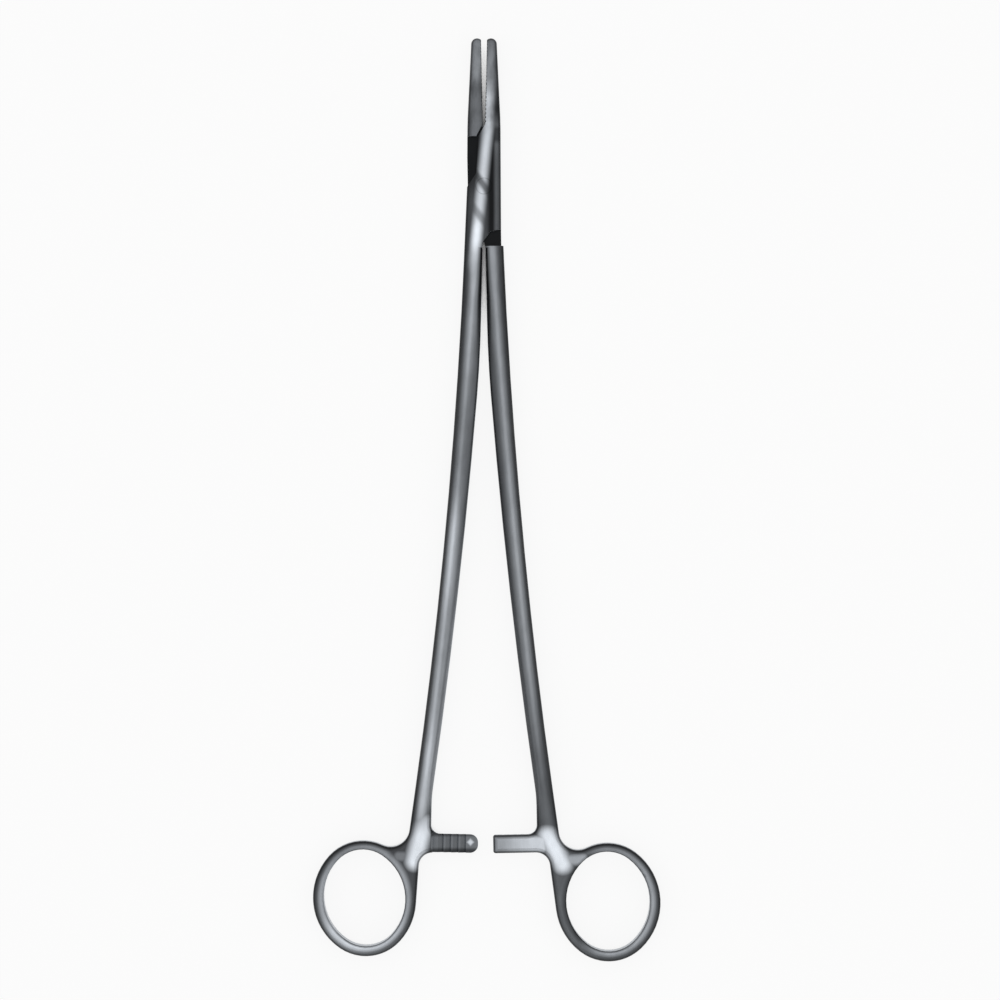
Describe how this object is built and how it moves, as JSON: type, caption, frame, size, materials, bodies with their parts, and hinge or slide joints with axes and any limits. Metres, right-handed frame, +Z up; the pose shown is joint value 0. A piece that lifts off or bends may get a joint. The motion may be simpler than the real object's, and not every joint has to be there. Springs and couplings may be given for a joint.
{
  "type": "needle holder",
  "caption": "Long slender needle holder with short cross-cut jaws, a box lock, bowed shanks, an open thumb ratchet and oval finger rings, lying flat and slightly open.",
  "frame": {"origin": "on the joint axis, at the underside of the box", "axes": "+Y towards the jaw tips, +X towards the half with the wider ring, +Z up through the thickness"},
  "size_m": [0.0999, 0.2653, 0.0066],
  "materials": {
    "box_half_steel": "satin stainless steel",
    "tongue_half_steel": "satin stainless steel",
    "pin_steel": "polished stainless steel"
  },
  "bodies": {
    "box_side": {"box_half": "box_half_steel", "joint_pin": "pin_steel"},
    "tongue_side": {"tongue_half": "tongue_half_steel"}
  },
  "joints": [
    {"name": "box_lock_hinge", "type": "hinge", "parent": "box_side", "child": "tongue_side", "pos_m": [0, 0, 0], "axis": [0, 0, 1], "range_deg": [-2.15, 37.3]}
  ]
}
